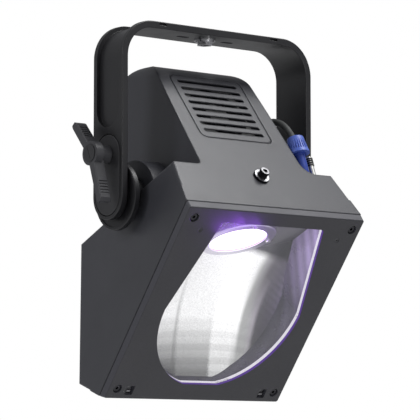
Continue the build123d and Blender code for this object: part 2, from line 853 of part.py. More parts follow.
wall_outer = aperture_prism(glass_back, 100, 2.2)
wall_inner = aperture_prism(glass_back - 1, 101, 0.6)
wall_flange = aperture_prism(glass_back, glass_back + 1.6, 8.0)
scoop_clip = aperture_prism(1.0, 100, 2.2)
behind_scoop = scoop_body(120.0)
ring_neck_r = 49.4

with BuildPart() as reflector_scoop:
    add(scoop_body(2.4))
    add(scoop_clip, mode=Mode.INTERSECT)
    with BuildSketch(led_plane(12)):
        Circle(ring_neck_r + 0.4)
    extrude(amount=-30, mode=Mode.SUBTRACT)
write(reflector_scoop.part, "reflector_scoop")

with BuildPart() as reflector_wall:
    add(wall_outer)
    add(wall_flange)
    add(wall_inner, mode=Mode.SUBTRACT)
    add(behind_scoop, mode=Mode.SUBTRACT)
    with BuildSketch(led_plane(9)):
        Circle(ring_r + 0.5)
    extrude(amount=-12, mode=Mode.SUBTRACT)
write(reflector_wall.part, "reflector_wall")

# ---------------------------------------------------------------- light engine

board_t = 2.0
base_t = 9.0
ring_low = -3.4

with BuildPart() as led_ring:
    with BuildSketch(led_plane(0.4)):
        Circle(ring_r)
    extrude(amount=5.6)
    with BuildSketch(led_plane(ring_low)):
        Circle(ring_neck_r)
    extrude(amount=4.0)
    chamfer(led_ring.faces().sort_by(Axis(led_centre, led_out))[-1].edges(), 1.4)
    with BuildSketch(led_plane(ring_low - 1)):
        Circle(led_r)
    extrude(amount=8.0 - ring_low - 1.8, mode=Mode.SUBTRACT)
    with BuildSketch(led_plane(ring_low)):
        Circle(led_r - 2.0)
    extrude(amount=12, mode=Mode.SUBTRACT)
write(led_ring.part, "led_ring")

with BuildPart() as led_window:
    with BuildSketch(led_plane(0.6)):
        Circle(led_r - 0.2)
    extrude(amount=3.0)
write(led_window.part, "led_window")

with BuildPart() as led_board:
    with BuildSketch(led_plane(ring_low)):
        Circle(ring_neck_r)
    extrude(amount=-board_t)
write(led_board.part, "led_board")

with BuildPart() as led_array:
    with BuildSketch(led_plane(ring_low)):
        with HexLocations(6.4, 7, 7):
            Rectangle(6.0, 6.0)
        Circle(led_r - 3.0, mode=Mode.INTERSECT)
    extrude(amount=1.5)
write(led_array.part, "led_array")

base_top = ring_low - board_t
fin_base = led_centre + led_out * (base_top - base_t)
with BuildPart() as heat_sink:
    with BuildSketch(led_plane(base_top)):
        with Locations((0, -2.0)):
            RectangleRounded(146, 100, 3)
    extrude(amount=-base_t)
    foot_front = fin_base - led_back * 46
    foot_rear = fin_base + led_back * 50
    for i in range(21):
        with BuildSketch(Plane.YZ.offset(-70.0 + 7.0 * i)):
            with BuildLine():
                Polyline(
                    (foot_front.Y, foot_front.Z),
                    (foot_rear.Y, foot_rear.Z),
                    yz(168.0, 40.0),
                    yz(150.0, 86.0),
                    yz(90.0, 80.0),
                    close=True,
                )
            make_face()
        extrude(amount=0.8, both=True)
write(heat_sink.part, "heat_sink")

with BuildPart() as ring_screws:
    for angle in (8.0, 98.0, 188.0):
        with BuildSketch(led_plane(6.0)):
            with Locations((47.6 * cos(radians(angle)), 47.6 * sin(radians(angle)))):
                Circle(3.4)
        extrude(amount=2.4)
write(ring_screws.part, "ring_screws")

# ---------------------------------------------------------------- fan

fan_s = 187.0
fan_size = 92.0
fan_back = -33.0           # the frame's inner face, from the sloping face
fan_t = 25.0
fan_hole_r = 44.6

with BuildPart() as fan_frame:
    with BuildSketch(slope_plane(fan_s, out=fan_back)):
        RectangleRounded(fan_size, fan_size, 5)
        Circle(fan_hole_r, mode=Mode.SUBTRACT)
        with GridLocations(82.5, 82.5, 2, 2):
            Circle(2.2, mode=Mode.SUBTRACT)
    extrude(amount=fan_t)
    with BuildSketch(slope_plane(fan_s, out=fan_back)):
        Circle(19.0)
        for angle in (0, 90, 180, 270):
            Rectangle(50, 4, rotation=angle + 20, align=(Align.MIN, Align.CENTER))
        Circle(fan_hole_r + 0.6, mode=Mode.INTERSECT)
    extrude(amount=2.8)
    with BuildSketch(slope_plane(fan_s, out=fan_back)):
        Circle(1.98)
    extrude(amount=14)
write(fan_frame.part, "fan_frame")

with BuildPart(slope_plane(fan_s, out=fan_back + 13.4)) as fan_rotor:
    Cylinder(18.5, 19.6)
    with PolarLocations(30.2, 7):
        Box(26.4, 1.8, 19.0, rotation=(40, 0, 0))
    with Locations((0, 0, -9.8)):
        Cylinder(2.03, 24, mode=Mode.SUBTRACT)
write(fan_rotor.part, "fan_rotor")

with BuildPart() as vent_grille:
    with BuildSketch(slope_plane(grille_mid)):
        RectangleRounded(grille_w, grille_s1 - grille_s0, 9)
        for i in range(slot_count):
            with Locations((0, slot_first_s + slot_pitch * i - grille_mid)):
                SlotOverall(slot_l, slot_w, mode=Mode.SUBTRACT)
    extrude(amount=-2.2)
write(vent_grille.part, "vent_grille")

with BuildPart() as service_screw:
    with BuildSketch(slope_plane(service_s, service_x)):
        Circle(11.6)
    extrude(amount=3.4)
    chamfer(service_screw.faces().sort_by(Axis(front_edge, slope_out))[-1].edges(), 0.6)
    with BuildSketch(slope_plane(service_s, service_x)):
        Circle(6.8)
    extrude(amount=12.4)
    chamfer(service_screw.faces().sort_by(Axis(front_edge, slope_out))[-1].edges(), 0.6)
    with BuildSketch(slope_plane(service_s, service_x, out=12.4)):
        RegularPolygon(3.8, 6)
    extrude(amount=-6.0, mode=Mode.SUBTRACT)
    with BuildSketch(slope_plane(service_s, service_x)):
        Circle(3.0)
    extrude(amount=-9)
write(service_screw.part, "service_screw")

# ---------------------------------------------------------------- electronics

supply_y0 = 198.0
supply_y1 = 250.0
supply_z0 = -160.0
supply_z1 = -62.0
with BuildPart() as power_supply:
    with BuildSketch(Plane.XY.offset(front_edge_z + supply_z0)):
        with Locations((0, front_edge_y + (supply_y0 + supply_y1) / 2)):
            RectangleRounded(160, supply_y1 - supply_y0, 3)
    extrude(amount=supply_z1 - supply_z0)
    with Locations((0, front_edge_y + 224, front_edge_z + supply_z0 - 4)):
        Box(110, 16, 8)
write(power_supply.part, "power_supply")

with BuildPart() as supply_bracket:
    with BuildSketch(Plane.XZ.offset(-(front_edge_y + supply_y1))):
        with Locations((0, front_edge_z + (supply_z0 + supply_z1) / 2)):
            Rectangle(226, 74)
    extrude(amount=-2.0)
write(supply_bracket.part, "supply_bracket")

post_spots = [(x, front_edge_y + y) for x in (-62, 62) for y in (206, 242)]
with BuildPart() as board_posts:
    for x, y in post_spots:
        with Locations((x, y, front_edge_z + supply_z1 + 4)):
            Cylinder(3.2, 8)
write(board_posts.part, "board_posts")

board_z = front_edge_z + supply_z1 + 8
with BuildPart() as driver_board:
    with Locations((0, front_edge_y + 221, board_z + 0.8)):
        Box(140, 64, 1.6)
    for x, y, w, d, h in (
        (-46, 214, 24, 18, 11),
        (-14, 212, 20, 20, 9),
        (16, 216, 16, 30, 10),
        (46, 210, 22, 12, 7),
        (46, 234, 14, 10, 6),
        (-44, 238, 30, 9, 8),
    ):
        with Locations((x, front_edge_y + y, board_z + 1.6 + h / 2)):
            Box(w, d, h)
write(driver_board.part, "driver_board")

# ---------------------------------------------------------------- rear of the head

cover_t = 2.5
with BuildPart() as rear_cover:
    with BuildSketch(back_plane(0, cover_z)):
        RectangleRounded(cover_w, cover_h, 6)
        with Locations(*[(0, -28 + 8 * i) for i in range(8)]):
            SlotOverall(84, 3.6, mode=Mode.SUBTRACT)
    extrude(amount=cover_t)
    chamfer(rear_cover.faces().sort_by(Axis.Y)[-1].edges().filter_by(lambda e: e.length > 90), 0.6)
write(rear_cover.part, "rear_cover")

with BuildPart() as cover_screws:
    with BuildSketch(back_plane(0, cover_z, out=cover_t)):
        with Locations(*cover_spots):
            Circle(3.0)
    extrude(amount=1.8)
    with BuildSketch(back_plane(0, cover_z, out=cover_t + 1.8)):
        with Locations(*cover_spots):
            Rectangle(3.6, 0.8)
            Rectangle(0.8, 3.6)
    extrude(amount=-1.0, mode=Mode.SUBTRACT)
write(cover_screws.part, "cover_screws")

def tube(points, bends, radius):
    """A round lead along straight runs with a tangent arc at each inner point."""
    with BuildPart() as body:
        with BuildLine() as path:
            here = points[0]
            for i, bend in enumerate(bends):
                corner = points[i + 1]
                before = (corner - here).normalized()
                after = (points[i + 2] - corner).normalized()
                half = radians((corner - here).get_angle(points[i + 2] - corner) / 2)
                setback = bend * tan(half)
                start = corner - before * setback
                finish = corner + after * setback
                Line(here, start)
                middle = (after - before).normalized() * (bend / cos(half) - bend) + corner
                ThreePointArc(start, middle, finish)
                here = finish
            Line(here, points[-1])
        first = (points[1] - points[0]).normalized()
        with BuildSketch(Plane(origin=points[0], z_dir=first)):
            Circle(radius)
        sweep(path=path.wires()[0])
    return body.part


# coil of mains lead behind the head
coil_r = 52.0
coil_bundle_r = 12.4
coil_x = 10.0
coil_y = front_edge_y + 268.0
coil_z = front_edge_z + 73.0
tie_angle = 138.0
tie_radial = Vector(cos(radians(tie_angle)), 0, sin(radians(tie_angle)))
tie_tangent = Vector(-sin(radians(tie_angle)), 0, cos(radians(tie_angle)))
tie_reach = 78.0           # the eye's bar, from the coil's centre
eye_y = front_edge_y + 261.0
eye_centre = Vector(coil_x, 0, coil_z) + tie_radial * tie_reach
eye_bar_r = 2.5
eye_half = 11.0

eye_foot = Vector(eye_centre.X, head_back_y + 1.5, eye_centre.Z)
eye_top = Vector(eye_centre.X, eye_y, eye_centre.Z)
eye_route = [
    eye_foot - tie_tangent * eye_half,
    eye_top - tie_tangent * eye_half,
    eye_top + tie_tangent * eye_half,
    eye_foot + tie_tangent * eye_half,
]
eye_bail = tube(eye_route, [5.0, 5.0], eye_bar_r)
with BuildPart() as safety_eye:
    foot = Vector(eye_centre.X, head_back_y, eye_centre.Z)
    with BuildSketch(Plane(origin=foot, x_dir=tie_tangent, z_dir=(0, 1, 0))):
        RectangleRounded(32, 16, 5)
    extrude(amount=3.0)
    add(eye_bail)
write(safety_eye.part, "safety_eye")

tie_plane = Plane(
    origin=Vector(coil_x, 0, coil_z) - tie_tangent * 3.5, x_dir=tie_radial, z_dir=tie_tangent
)
tie_side = tie_plane.y_dir.Y       # +1 or -1: the sketch's y against the model's


def tie_outline(grow):
    """Loop round the coil's bundle and the eye's bar."""
    with BuildPart() as loop:
        with BuildSketch(tie_plane):
            with Locations((coil_r, tie_side * coil_y)):
                Circle(coil_bundle_r + grow)
            with Locations((tie_reach, tie_side * eye_y)):
                Circle(eye_bar_r + grow)
            make_hull()
        extrude(amount=7.0)
    return loop.part


tie_inner = tie_outline(0.15)
with BuildPart() as coil_tie:
    add(tie_outline(1.9))
    add(tie_inner, mode=Mode.SUBTRACT)
write(coil_tie.part, "coil_tie")

# ---------------------------------------------------------------- mains inlet, plug and lead

plug_base = rear_plane(power_x, power_y).origin


def along_plug(t):
    """Across the plug, t up its axis from the slope."""
    return rear_plane(power_x, power_y, out=t)


with BuildPart() as power_inlet:
    with BuildSketch(along_plug(0)):
        RectangleRounded(22, 27, 6)
    extrude(amount=2.2)
    with BuildSketch(along_plug(0)):
        Circle(inlet_r)
    extrude(amount=-22)
    with BuildSketch(along_plug(0)):
        Circle(inlet_r)
    extrude(amount=4.0)
    with BuildSketch(along_plug(4.1)):
        Circle(7.7)
        Circle(5.4, mode=Mode.SUBTRACT)
    extrude(amount=-13, mode=Mode.SUBTRACT)
write(power_inlet.part, "power_inlet")

latch_w = 8.0
latch_t0 = 14.0            # the latch's pocket, up the plug
latch_t1 = 33.0
latch_travel = 3.0
collar_t0 = 39.5           # the ends of the clamping collar
collar_t1 = 65.0
plug_r = 7.8
with BuildPart() as power_plug:
    with BuildSketch(along_plug(4.3)):
        Circle(plug_r)
    extrude(amount=collar_t0 - 4.3)
    with BuildSketch(along_plug(4.3)):
        Circle(7.5)
        Circle(5.6, mode=Mode.SUBTRACT)
    extrude(amount=-10)
    # rounded lip under the collar
    with BuildSketch(along_plug(collar_t0 - 3.0)):
        Circle(plug_r + 2.2)
    extrude(amount=3.0)
    # raised track and pocket for the latch, behind the plug
    with BuildSketch(along_plug(10)):
        with Locations((0, plug_r - 0.5)):
            Rectangle(14, 5)
    extrude(amount=27)
    with BuildSketch(along_plug(latch_t0)):
        with Locations((0, plug_r + 1.0)):
            Rectangle(latch_w + 0.8, 4.4)
    extrude(amount=latch_t1 - latch_t0, mode=Mode.SUBTRACT)
    with BuildSketch(along_plug(28)):
        Circle(cable_r)
    extrude(amount=20, mode=Mode.SUBTRACT)
write(power_plug.part, "power_plug")

with BuildPart() as plug_latch:
    with BuildSketch(along_plug(latch_t0 + 0.5)):
        with Locations((0, plug_r + 0.1)):
            Rectangle(latch_w, 1.8)
    extrude(amount=latch_t1 - latch_t0 - latch_travel - 1.0)
    with BuildSketch(along_plug(latch_t0 + 3.0)):
        with Locations((0, plug_r + 1.4)):
            Rectangle(latch_w, 2.0)
    extrude(amount=6.0)
write(plug_latch.part, "plug_latch")

with BuildPart() as plug_collar:
    with BuildSketch(along_plug(collar_t0)):
        Circle(15.4)
    with BuildSketch(along_plug(collar_t1)):
        Circle(11.6)
    loft()
    fillet(plug_collar.faces().sort_by(Axis(plug_base, rear_normal))[-1].edges(), 2.2)
    # grip flutes
    with BuildSketch(along_plug(collar_t0 + 5.0)):
        with PolarLocations(14.6, 26):
            Rectangle(4.4, 1.5)
    extrude(amount=15.0, mode=Mode.SUBTRACT)
    with BuildSketch(along_plug(collar_t0 - 2)):
        Circle(cable_r)
    extrude(amount=30, mode=Mode.SUBTRACT)
write(plug_collar.part, "plug_collar")

cable_start = along_plug(29).origin
cable_turn = along_plug(97).origin
route = [
    cable_start,
    cable_turn,
    Vector(104, front_edge_y + 183, front_edge_z + 135),
    Vector(99, coil_y, front_edge_z + 130),
    Vector(coil_x, coil_y, coil_z + coil_r),
]


def route_radii(points):
    """The largest bends that leave a straight stretch between neighbours."""
    radii = []
    for a, b, c in zip(points, points[1:], points[2:]):
        turn = (b - a).get_angle(c - b)
        run = min((b - a).length, (c - b).length)
        radii.append(min(0.45 * run / tan(radians(turn / 2)), 400.0))
    return radii


mains_cable = tube(route, route_radii(route), cable_r)
write(mains_cable, "mains_cable")

tail_x0 = coil_x
tail_x1 = 70.0
with BuildPart() as cable_coil:
    with Locations(Location((coil_x, coil_y, coil_z), (90, 0, 0))):
        Torus(coil_r, coil_bundle_r)
    with BuildSketch(Plane.YZ.offset(tail_x0)):
        with Locations((coil_y, coil_z - coil_r)):
            Circle(cable_r)
    extrude(amount=tail_x1 - tail_x0)
    add(mains_cable, mode=Mode.SUBTRACT)
write(cable_coil.part, "cable_coil")

with BuildPart() as supply_plug:
    with BuildSketch(Plane.YZ.offset(tail_x1)):
        with Locations((coil_y, coil_z - coil_r)):
            Circle(8.0)
    with BuildSketch(Plane.YZ.offset(tail_x1 + 12)):
        with Locations((coil_y, coil_z - coil_r)):
            Circle(12.5)
    loft()
    with BuildSketch(Plane.YZ.offset(tail_x1 + 12)):
        with Locations((coil_y, coil_z - coil_r)):
            Circle(12.5)
    extrude(amount=30)
    with BuildSketch(Plane.YZ.offset(tail_x1 + 42)):
        with Locations((coil_y, coil_z - coil_r)):
            Circle(11.0)
            Circle(8.6, mode=Mode.SUBTRACT)
    extrude(amount=8)
write(supply_plug.part, "supply_plug")

# ---------------------------------------------------------------- data socket and terminator

with BuildPart() as data_socket:
    with BuildSketch(rear_plane(data_x, data_y)):
        RegularPolygon(6.4, 6)
    extrude(amount=2.0)
    with BuildSketch(rear_plane(data_x, data_y)):
        Circle(data_r)
    extrude(amount=-12)
write(data_socket.part, "data_socket")

with BuildPart() as data_terminator:
    with BuildSketch(rear_plane(data_x, data_y, out=2.0)):
        Circle(4.9)
    extrude(amount=8.0)
    with BuildSketch(rear_plane(data_x, data_y, out=10.0)):
        Circle(4.1)
    extrude(amount=29.0)
    chamfer(data_terminator.faces().sort_by(Axis(plug_base, rear_normal))[-1].edges(), 0.8)
write(data_terminator.part, "data_terminator")

with BuildPart() as terminator_grip:
    for i in range(4):
        with BuildSketch(rear_plane(data_x, data_y, out=25.0 + 3.2 * i)):
            Circle(5.0)
            Circle(4.1, mode=Mode.SUBTRACT)
        extrude(amount=1.8)
write(terminator_grip.part, "terminator_grip")
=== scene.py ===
from math import atan2, cos, pi, radians, sin

import bpy
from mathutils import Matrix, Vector


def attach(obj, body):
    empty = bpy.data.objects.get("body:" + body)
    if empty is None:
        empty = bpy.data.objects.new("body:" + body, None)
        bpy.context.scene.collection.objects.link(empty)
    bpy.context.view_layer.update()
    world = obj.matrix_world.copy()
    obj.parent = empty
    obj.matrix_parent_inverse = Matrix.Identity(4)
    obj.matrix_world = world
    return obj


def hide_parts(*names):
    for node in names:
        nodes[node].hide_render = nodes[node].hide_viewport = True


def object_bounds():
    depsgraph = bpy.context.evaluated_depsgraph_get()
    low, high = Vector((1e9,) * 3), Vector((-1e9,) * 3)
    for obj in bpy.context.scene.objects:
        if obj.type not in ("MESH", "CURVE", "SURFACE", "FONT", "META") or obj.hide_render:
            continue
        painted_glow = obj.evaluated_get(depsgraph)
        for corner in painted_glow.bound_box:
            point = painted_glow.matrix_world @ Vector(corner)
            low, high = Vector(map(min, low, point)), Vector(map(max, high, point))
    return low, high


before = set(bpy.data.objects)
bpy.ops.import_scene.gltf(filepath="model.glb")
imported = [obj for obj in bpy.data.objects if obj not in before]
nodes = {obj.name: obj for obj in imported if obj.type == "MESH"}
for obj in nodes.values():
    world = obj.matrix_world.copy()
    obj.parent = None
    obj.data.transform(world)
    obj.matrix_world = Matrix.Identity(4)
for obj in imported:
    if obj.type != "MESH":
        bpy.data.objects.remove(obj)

cad_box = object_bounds()

# ---------------------------------------------------------------- places, in metres

MM = 0.001
front_edge = Vector((0, -153.0, -243.5)) * MM
bezel_tilt = radians(37.6)
top_tilt = radians(39.0)
led_tilt = radians(18.0)
down = Vector((0, sin(bezel_tilt), -cos(bezel_tilt)))
inward = Vector((0, cos(bezel_tilt), sin(bezel_tilt)))
up_slope = Vector((0, sin(top_tilt), cos(top_tilt)))
slope_out = Vector((0, -cos(top_tilt), sin(top_tilt)))
led_out = Vector((0, -sin(led_tilt), -cos(led_tilt)))
led_centre = front_edge + (down * 76.0 + inward * 45.2) * MM

shoulder = front_edge + up_slope * 72.0 * MM
back_top = front_edge + Vector((0, 286.0, -35.0)) * MM
rear_angle = atan2(back_top.z - shoulder.z, back_top.y - shoulder.y)
rear_normal = Vector((0, -sin(rear_angle), cos(rear_angle)))
plug_foot_y = front_edge.y + 62.7 * MM
plug_foot_z = shoulder.z + (plug_foot_y - shoulder.y) * sin(rear_angle) / cos(rear_angle)
plug_foot = Vector((105.5 * MM, plug_foot_y, plug_foot_z))

# ---------------------------------------------------------------- material kit


class Mat:
    """A node material around one Principled shader, with object coordinates in metres."""

    def __init__(self, name, rough=0.5, metal=0.0, **sockets):
        self.mat = bpy.data.materials.new(name)
        self.mat.use_nodes = True
        self.tree = self.mat.node_tree
        self.tree.nodes.clear()
        self.out = self.add("ShaderNodeOutputMaterial")
        self.bsdf = self.add("ShaderNodeBsdfPrincipled")
        self.link(self.bsdf.outputs[0], self.out.inputs[0])
        self.bsdf.inputs["Roughness"].default_value = rough
        self.bsdf.inputs["Metallic"].default_value = metal
        for key, value in sockets.items():
            self.bsdf.inputs[key.replace("_", " ")].default_value = value
        self.coord = self.add("ShaderNodeTexCoord").outputs["Object"]
        self.normal = None

    def add(self, kind, **props):
        node = self.tree.nodes.new(kind)
        for key, value in props.items():
            setattr(node, key, value)
        return node

    def link(self, a, b):
        self.tree.links.new(a, b)

    def mapped(self, scale=(1, 1, 1), turn=(0, 0, 0)):
        node = self.add("ShaderNodeMapping")
        node.inputs["Scale"].default_value = scale
        node.inputs["Rotation"].default_value = turn
        self.link(self.coord, node.inputs["Vector"])
        return node.outputs[0]

    def noise(self, scale, detail=3.0, vector=None, rough=0.55):
        node = self.add("ShaderNodeTexNoise")
        node.inputs["Scale"].default_value = scale
        node.inputs["Detail"].default_value = detail
        node.inputs["Roughness"].default_value = rough
        self.link(vector or self.coord, node.inputs["Vector"])
        return node.outputs["Fac"]

    def ramp(self, fac, stops):
        node = self.add("ShaderNodeValToRGB")
        band = node.color_ramp
        while len(band.elements) < len(stops):
            band.elements.new(0.5)
        for element, (place, colour) in zip(band.elements, stops):
            element.position = place
            element.color = (*colour, 1.0) if len(colour) == 3 else colour
        self.link(fac, node.inputs["Fac"])
        return node.outputs["Color"]

    def spread(self, fac, low, high, start=0.3, end=0.7):
        node = self.add("ShaderNodeMapRange")
        node.inputs["From Min"].default_value = start
        node.inputs["From Max"].default_value = end
        node.inputs["To Min"].default_value = low
        node.inputs["To Max"].default_value = high
        self.link(fac, node.inputs["Value"])
        return node.outputs[0]

    def mix(self, fac, a, b):
        node = self.add("ShaderNodeMix", data_type="RGBA")
        self.link(fac, node.inputs["Factor"])
        for value, socket in ((a, node.inputs[6]), (b, node.inputs[7])):
            if isinstance(value, tuple):
                socket.default_value = (*value, 1.0)
            else:
                self.link(value, socket)
        return node.outputs[2]

    def times(self, a, b):
        """One colour multiplied by another; b is a socket or a colour."""
        node = self.add("ShaderNodeMix", data_type="RGBA", blend_type="MULTIPLY")
        node.inputs["Factor"].default_value = 1.0
        self.link(a, node.inputs[6])
        if isinstance(b, tuple):
            node.inputs[7].default_value = (*b, 1.0)
        else:
            self.link(b, node.inputs[7])
        return node.outputs[2]

    def sum(self, operation, a, b=0.0):
        """One maths node; a and b are sockets or numbers."""
        node = self.add("ShaderNodeMath", operation=operation)
        for value, socket in ((a, node.inputs[0]), (b, node.inputs[1])):
            if isinstance(value, (int, float)):
                socket.default_value = value
            else:
                self.link(value, socket)
        return node.outputs[0]

    def along(self, direction, start=None):
        """How far a point of the object lies along a direction, from start."""
        node = self.add("ShaderNodeVectorMath", operation="DOT_PRODUCT")
        node.inputs[1].default_value = direction
        self.link(self.coord, node.inputs[0])
        offset = Vector(direction).dot(start) if start is not None else 0.0
        return self.sum("SUBTRACT", node.outputs["Value"], offset)

    def facing(self, direction):
        """How squarely the surface faces a direction, from -1 to 1."""
        geometry = self.add("ShaderNodeNewGeometry")
        node = self.add("ShaderNodeVectorMath", operation="DOT_PRODUCT")
        node.inputs[1].default_value = direction
        self.link(geometry.outputs["Normal"], node.inputs[0])
        return node.outputs["Value"]

    def glow(self, source, strength):
        self.link(source, self.bsdf.inputs["Emission Color"])
        self.bsdf.inputs["Emission Strength"].default_value = strength

    def colour(self, source):
        self.link(source, self.bsdf.inputs["Base Color"])

    def roughness(self, source):
        self.link(source, self.bsdf.inputs["Roughness"])

    def soft_edges(self, radius):
        node = self.add("ShaderNodeBevel", samples=4)
        node.inputs["Radius"].default_value = radius
        self.normal = node.outputs[0]
        self.link(self.normal, self.bsdf.inputs["Normal"])

    def bump(self, height, depth, strength=1.0):
        node = self.add("ShaderNodeBump")
        node.inputs["Distance"].default_value = depth
        node.inputs["Strength"].default_value = strength
        self.link(height, node.inputs["Height"])
        if self.normal is not None:
            self.link(self.normal, node.inputs["Normal"])
        self.normal = node.outputs[0]
        self.link(self.normal, self.bsdf.inputs["Normal"])


def shade(colour, k):
    """A colour made k times as bright."""
    return tuple(min(1.0, c * k) for c in colour)


def coat(name, colour, rough=0.42, grain=1500.0, depth=0.00006, edge=0.0009, spec=0.5):
    """Powder coat: fine orange peel, faint patchiness in colour and gloss, handling marks."""
    m = Mat(name, rough=rough)
    m.bsdf.inputs["Specular IOR Level"].default_value = spec
    patch = m.noise(7.0, 4.0)
    fine = m.noise(420.0, 2.0)
    base = m.ramp(patch, [(0.3, shade(colour, 0.9)), (0.7, shade(colour, 1.1))])
    fleck = m.ramp(fine, [(0.35, shade(colour, 0.92)), (0.75, shade(colour, 1.12))])
    blend = m.add("ShaderNodeMix", data_type="RGBA", blend_type="MIX")
    blend.inputs["Factor"].default_value = 0.4
    m.link(base, blend.inputs[6])
    m.link(fleck, blend.inputs[7])
    marks = m.noise(38.0, 7.0, rough=0.7)
    worn = m.ramp(marks, [(0.60, (0, 0, 0)), (0.72, (1, 1, 1))])
    m.colour(m.mix(m.spread(worn, 0.0, 0.10, 0.0, 1.0), blend.outputs[2], shade(colour, 1.8)))
    m.roughness(m.spread(m.noise(16.0, 5.0), rough - 0.05, rough + 0.07))
    m.soft_edges(edge)
    m.bump(m.noise(grain, 2.0), depth)
    m.bump(m.noise(60.0, 2.0), 0.00005)
    return m.mat


def framed(name, colour):
    """The bezel's coat: faces turned away from the front painted lighter as a highlight, its inner wall
    painted violet and glowing as light from the emitter.
    """
    m = Mat(name, rough=0.44)
    fine = m.noise(420.0, 2.0)
    face = m.ramp(fine, [(0.3, shade(colour, 0.9)), (0.7, shade(colour, 1.1))])
    level = m.sum("ABSOLUTE", m.facing(inward))
    # painted highlight: faces turned away from the front are painted lighter
    rim = m.spread(level, 1.0, 0.0, 0.45, 0.90)
    x = m.sum("ABSOLUTE", m.along((1, 0, 0)))
    v = m.along(down, front_edge)
    taper = m.sum("SUBTRACT", x, m.sum("MULTIPLY", v, 0.21))
    bowl = m.sum("ADD", m.sum("POWER", m.sum("DIVIDE", x, 0.121), 2.0),
                 m.sum("POWER", m.sum("DIVIDE", m.sum("SUBTRACT", v, 0.162), 0.127), 2.0))
    upper = m.sum("MULTIPLY", m.sum("LESS_THAN", taper, 0.0875), m.sum("LESS_THAN", v, 0.162))
    upper = m.sum("MULTIPLY", upper, m.sum("GREATER_THAN", v, 0.018))
    lower = m.sum("MULTIPLY", m.sum("LESS_THAN", bowl, 1.0), m.sum("GREATER_THAN", v, 0.162))
    inside = m.sum("MULTIPLY", m.sum("MAXIMUM", upper, lower), m.sum("LESS_THAN", level, 0.5))
    # painted light: the aperture's inner wall gets a violet colour and glow, as if lit by the emitter
    m.colour(m.mix(inside, m.mix(rim, face, shade(colour, 2.3)), (0.05, 0.02, 0.12)))
    m.glow(m.mix(inside, (0.0, 0.0, 0.0), (0.05, 0.015, 0.17)), 1.0)
    m.roughness(m.spread(m.noise(16.0, 5.0), 0.38, 0.5))
    m.soft_edges(0.0012)
    m.bump(m.noise(1500.0, 2.0), 0.00006)
    return m.mat


def plastic(name, colour, rough=0.38, grain=2400.0, depth=0.00003, edge=0.0007):
    """Moulded plastic with a spark-eroded grain and slightly glossy handled spots."""
    m = Mat(name, rough=rough)
    tone = m.noise(22.0, 3.0)
    m.colour(m.ramp(tone, [(0.3, shade(colour, 0.88)), (0.7, shade(colour, 1.12))]))
    m.roughness(m.spread(m.noise(55.0, 4.0), rough - 0.08, rough + 0.1))
    m.soft_edges(edge)
    m.bump(m.noise(grain, 2.0), depth)
    return m.mat


def steel(name, colour, rough=0.3, stretch=(1, 1, 1), edge=0.0004):
    """Plated or turned metal with fine directional scratches."""
    m = Mat(name, rough=rough, metal=1.0)
    lines = m.noise(900.0, 3.0, m.mapped(stretch))
    m.colour(m.ramp(lines, [(0.3, shade(colour, 0.82)), (0.7, shade(colour, 1.12))]))
    m.roughness(m.spread(m.noise(120.0, 3.0), rough - 0.08, rough + 0.12))
    m.soft_edges(edge)
    m.bump(lines, 0.00003)
    return m.mat


def rubber(name, colour, rough=0.62):
    """Matt moulded rubber with a fine grain."""
    m = Mat(name, rough=rough)
    m.colour(m.ramp(m.noise(90.0, 4.0), [(0.3, shade(colour, 0.8)), (0.75, shade(colour, 1.25))]))
    m.roughness(m.spread(m.noise(200.0, 3.0), rough - 0.1, rough + 0.1))
    m.bump(m.noise(1800.0, 2.0), 0.00005)
    return m.mat


def mirror(name, colour, rough, stipple, depth):
    """Anodised reflector sheet with a stippled face."""
    m = Mat(name, rough=rough, metal=1.0)
    cloud = m.noise(45.0, 4.0)
    grain = m.noise(stipple, 2.0)
    tone = m.ramp(grain, [(0.3, shade(colour, 0.86)), (0.7, shade(colour, 1.06))])
    m.colour(m.mix(m.spread(cloud, 0.0, 0.25), tone, shade(colour, 0.9)))
    m.roughness(m.spread(cloud, rough - 0.04, rough + 0.06))
    m.bump(grain, depth)
    return m.mat


